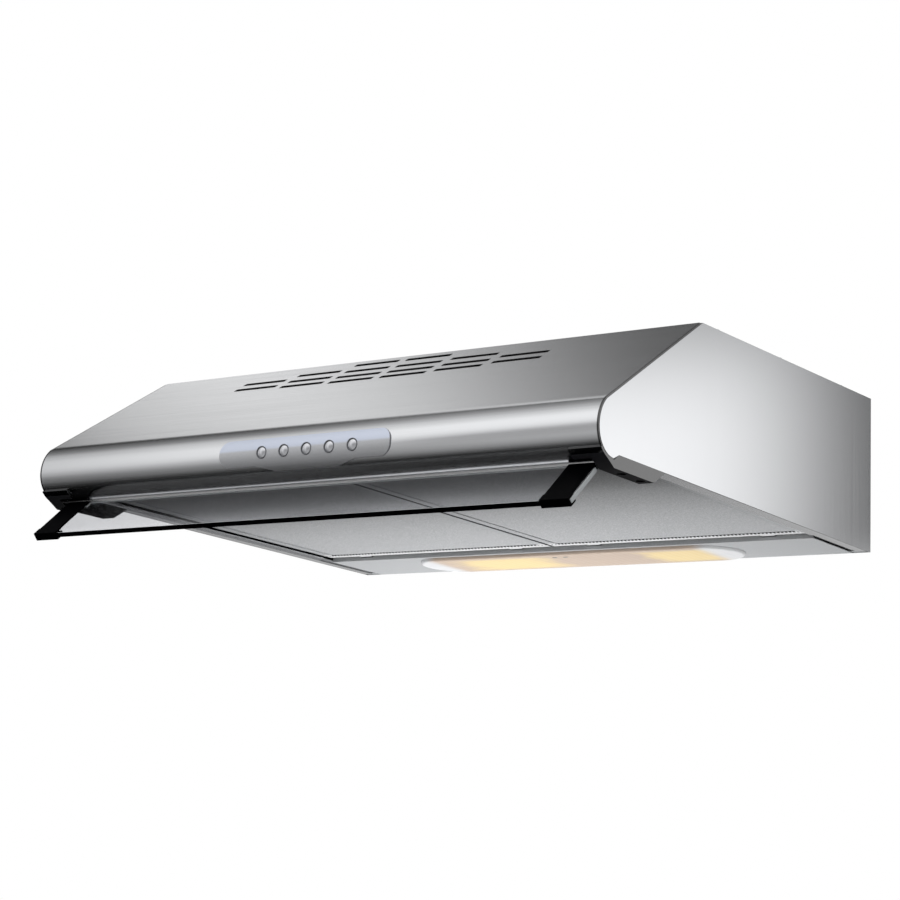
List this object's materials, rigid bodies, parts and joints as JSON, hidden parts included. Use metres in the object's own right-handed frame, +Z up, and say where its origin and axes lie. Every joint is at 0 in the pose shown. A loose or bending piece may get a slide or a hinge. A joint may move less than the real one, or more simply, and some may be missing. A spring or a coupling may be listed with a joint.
{
  "type": "range hood",
  "caption": "Visor range hood for a wall or cabinet, with push buttons, folding glass visor, hinged grease filters, lamp panel, twin fans and a round duct collar.",
  "frame": {"origin": "centre of the four cabinet screw holes, on the top face", "axes": "+X to the right seen from the room, +Y into the wall, +Z up"},
  "size_m": [0.6, 0.5274, 0.2103],
  "materials": {
    "brushed_steel": "fine brushed along the width",
    "satin_steel": "satin",
    "coated_steel": "satin grey coating",
    "silver_plastic": "metallic silver lacquer",
    "chromed_plastic": "chromed",
    "black_plastic": "satin moulded",
    "dark_plastic": "moulded",
    "grey_plastic": "moulded",
    "clear_plastic": "diffusing, slightly cream",
    "frosted_glass": "frosted",
    "smoked_glass": "smoked, polished",
    "filter_aluminium": "plain expanded sheet",
    "motor_steel": "satin",
    "screw_steel": "zinc plated"
  },
  "bodies": {
    "hood": {"casing_top": "coated_steel", "casing_back": "coated_steel", "side_panel_left": "satin_steel", "side_panel_right": "satin_steel", "front_fascia": "brushed_steel", "edge_gasket_left": "black_plastic", "edge_gasket_right": "black_plastic", "lamp_panel": "coated_steel", "lamp_lens": "clear_plastic", "lens_clips": "grey_plastic", "lamp_reflector": "coated_steel", "lamp_holder_left": "black_plastic", "lamp_holder_right": "black_plastic", "bulb_left": "frosted_glass", "bulb_right": "frosted_glass", "control_bezel": "silver_plastic", "switch_block": "black_plastic", "hinge_block_left": "black_plastic", "hinge_block_right": "black_plastic", "plenum_box": "dark_plastic", "scroll_housing_left": "dark_plastic", "scroll_housing_right": "dark_plastic", "fan_lid": "dark_plastic", "motor_left": "motor_steel", "motor_right": "motor_steel", "inlet_guard_left": "dark_plastic", "inlet_guard_right": "dark_plastic", "duct_collar": "dark_plastic", "flap_pin": "screw_steel", "terminal_box": "grey_plastic", "capacitor": "grey_plastic", "cable_gland": "black_plastic", "screws_casing": "screw_steel", "screws_fascia": "screw_steel", "screws_fan": "screw_steel", "screws_collar": "screw_steel", "screws_hinge_blocks": "screw_steel"},
    "visor": {"visor_glass": "smoked_glass", "visor_edge_trim": "black_plastic", "visor_arm_left": "black_plastic", "visor_arm_right": "black_plastic", "visor_pins": "screw_steel"},
    "light_button": {"button_light": "chromed_plastic"},
    "off_button": {"button_off": "chromed_plastic"},
    "speed_1_button": {"button_speed_1": "chromed_plastic"},
    "speed_2_button": {"button_speed_2": "chromed_plastic"},
    "speed_3_button": {"button_speed_3": "chromed_plastic"},
    "filter_left": {"filter_frame_left": "filter_aluminium", "filter_mesh_left": "filter_aluminium"},
    "filter_right": {"filter_frame_right": "filter_aluminium", "filter_mesh_right": "filter_aluminium"},
    "latch_left": {"filter_latch_left": "grey_plastic"},
    "latch_right": {"filter_latch_right": "grey_plastic"},
    "fan_left": {"impeller_left": "dark_plastic", "shaft_left": "screw_steel"},
    "fan_right": {"impeller_right": "dark_plastic", "shaft_right": "screw_steel"},
    "front_damper": {"backdraft_flap_front": "dark_plastic"},
    "rear_damper": {"backdraft_flap_rear": "dark_plastic"},
    "air_flap": {"recirculation_flap": "dark_plastic"}
  },
  "joints": [
    {"name": "visor_hinge", "type": "hinge", "parent": "hood", "child": "visor", "pos_m": [0, -0.314, -0.1434], "axis": [-1, 0, 0], "range_deg": [-136, 0]},
    {"name": "light_press", "type": "slide", "parent": "hood", "child": "light_button", "axis": [0, 1, 0], "range_m": [0, 0.0025], "stiffness_N_per_m": 300, "springref_m": -0.002},
    {"name": "off_press", "type": "slide", "parent": "hood", "child": "off_button", "axis": [0, 1, 0], "range_m": [0, 0.0025], "stiffness_N_per_m": 300, "springref_m": -0.002},
    {"name": "speed_1_press", "type": "slide", "parent": "hood", "child": "speed_1_button", "axis": [0, 1, 0], "range_m": [0, 0.0025], "stiffness_N_per_m": 300, "springref_m": -0.002},
    {"name": "speed_2_press", "type": "slide", "parent": "hood", "child": "speed_2_button", "axis": [0, 1, 0], "range_m": [0, 0.0025], "stiffness_N_per_m": 300, "springref_m": -0.002},
    {"name": "speed_3_press", "type": "slide", "parent": "hood", "child": "speed_3_button", "axis": [0, 1, 0], "range_m": [0, 0.0025], "stiffness_N_per_m": 300, "springref_m": -0.002},
    {"name": "filter_left_hinge", "type": "hinge", "parent": "hood", "child": "filter_left", "pos_m": [-0.14088, 0.07767, -0.1431], "axis": [1, 0, 0], "range_deg": [0, 80]},
    {"name": "filter_right_hinge", "type": "hinge", "parent": "hood", "child": "filter_right", "pos_m": [0.14088, 0.07767, -0.1431], "axis": [1, 0, 0], "range_deg": [0, 80]},
    {"name": "latch_left_slide", "type": "slide", "parent": "filter_left", "child": "latch_left", "axis": [0, 0.9995, -0.0314], "range_m": [0, 0.005], "stiffness_N_per_m": 300, "springref_m": -0.003},
    {"name": "latch_right_slide", "type": "slide", "parent": "filter_right", "child": "latch_right", "axis": [0, 0.9995, -0.0314], "range_m": [0, 0.005], "stiffness_N_per_m": 300, "springref_m": -0.003},
    {"name": "fan_left_spin", "type": "hinge", "parent": "hood", "child": "fan_left", "pos_m": [-0.15, -0.03, -0.05], "axis": [0, 0, 1], "continuous": true},
    {"name": "fan_right_spin", "type": "hinge", "parent": "hood", "child": "fan_right", "pos_m": [0.15, -0.03, -0.05], "axis": [0, 0, 1], "continuous": true},
    {"name": "front_damper_hinge", "type": "hinge", "parent": "hood", "child": "front_damper", "pos_m": [0, -0.005, 0.01], "axis": [-1, 0, 0], "range_deg": [0, 75]},
    {"name": "rear_damper_hinge", "type": "hinge", "parent": "hood", "child": "rear_damper", "pos_m": [0, -0.005, 0.01], "axis": [1, 0, 0], "range_deg": [0, 75]},
    {"name": "air_flap_hinge", "type": "hinge", "parent": "hood", "child": "air_flap", "pos_m": [0, -0.105, -0.073], "axis": [1, 0, 0], "range_deg": [0, 60]}
  ]
}
